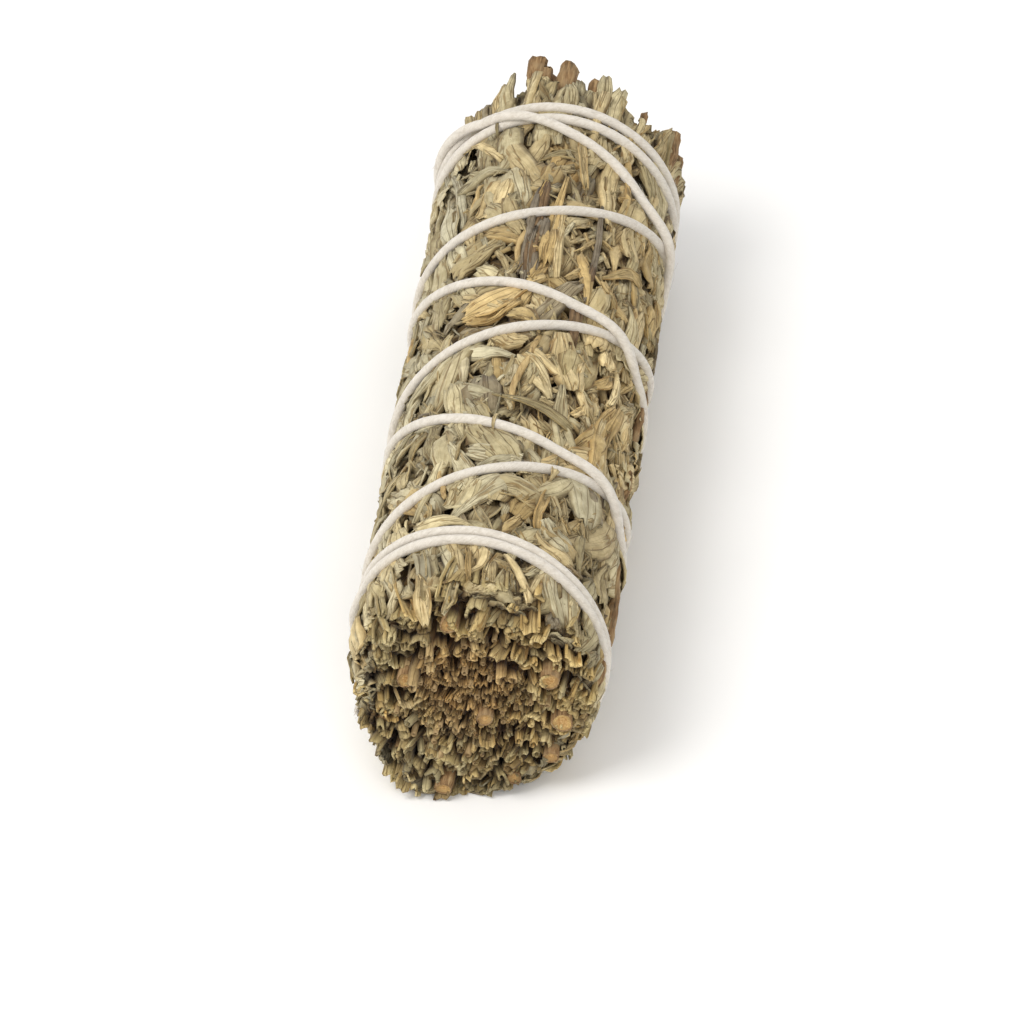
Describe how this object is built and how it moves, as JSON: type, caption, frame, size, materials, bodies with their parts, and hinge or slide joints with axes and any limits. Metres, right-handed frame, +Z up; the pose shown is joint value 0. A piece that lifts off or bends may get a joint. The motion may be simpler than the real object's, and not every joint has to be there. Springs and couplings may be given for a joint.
{
  "type": "sage bunch",
  "caption": "Round bunch of dried leafy sage sprigs, trimmed at both ends, lying on its side and wound with soft cotton string.",
  "frame": {"origin": "on the surface that the bunch lies on, under the middle of its bounding box", "axes": "+Y runs along the bunch from the near trimmed end, with the shorter stem stubs, to the far end; +Z is up; +X is to the right seen from the near end"},
  "size_m": [0.0354, 0.1112, 0.0323],
  "materials": {
    "leaves": "matt, dry and crumpled, grey-green to ochre",
    "stems": "matt brown bark with pale cut ends",
    "string": "soft off-white cotton"
  },
  "bodies": {
    "root": {"sprig_1_leaves": "leaves", "sprig_1_stem": "stems", "sprig_2_leaves": "leaves", "sprig_2_stem": "stems", "sprig_3_leaves": "leaves", "sprig_3_stem": "stems", "sprig_4_leaves": "leaves", "sprig_4_stem": "stems", "sprig_5_leaves": "leaves", "sprig_5_stem": "stems", "sprig_6_leaves": "leaves", "sprig_6_stem": "stems", "sprig_heart_leaves": "leaves", "sprig_heart_stem": "stems", "binding_string": "string"}
  },
  "joints": []
}
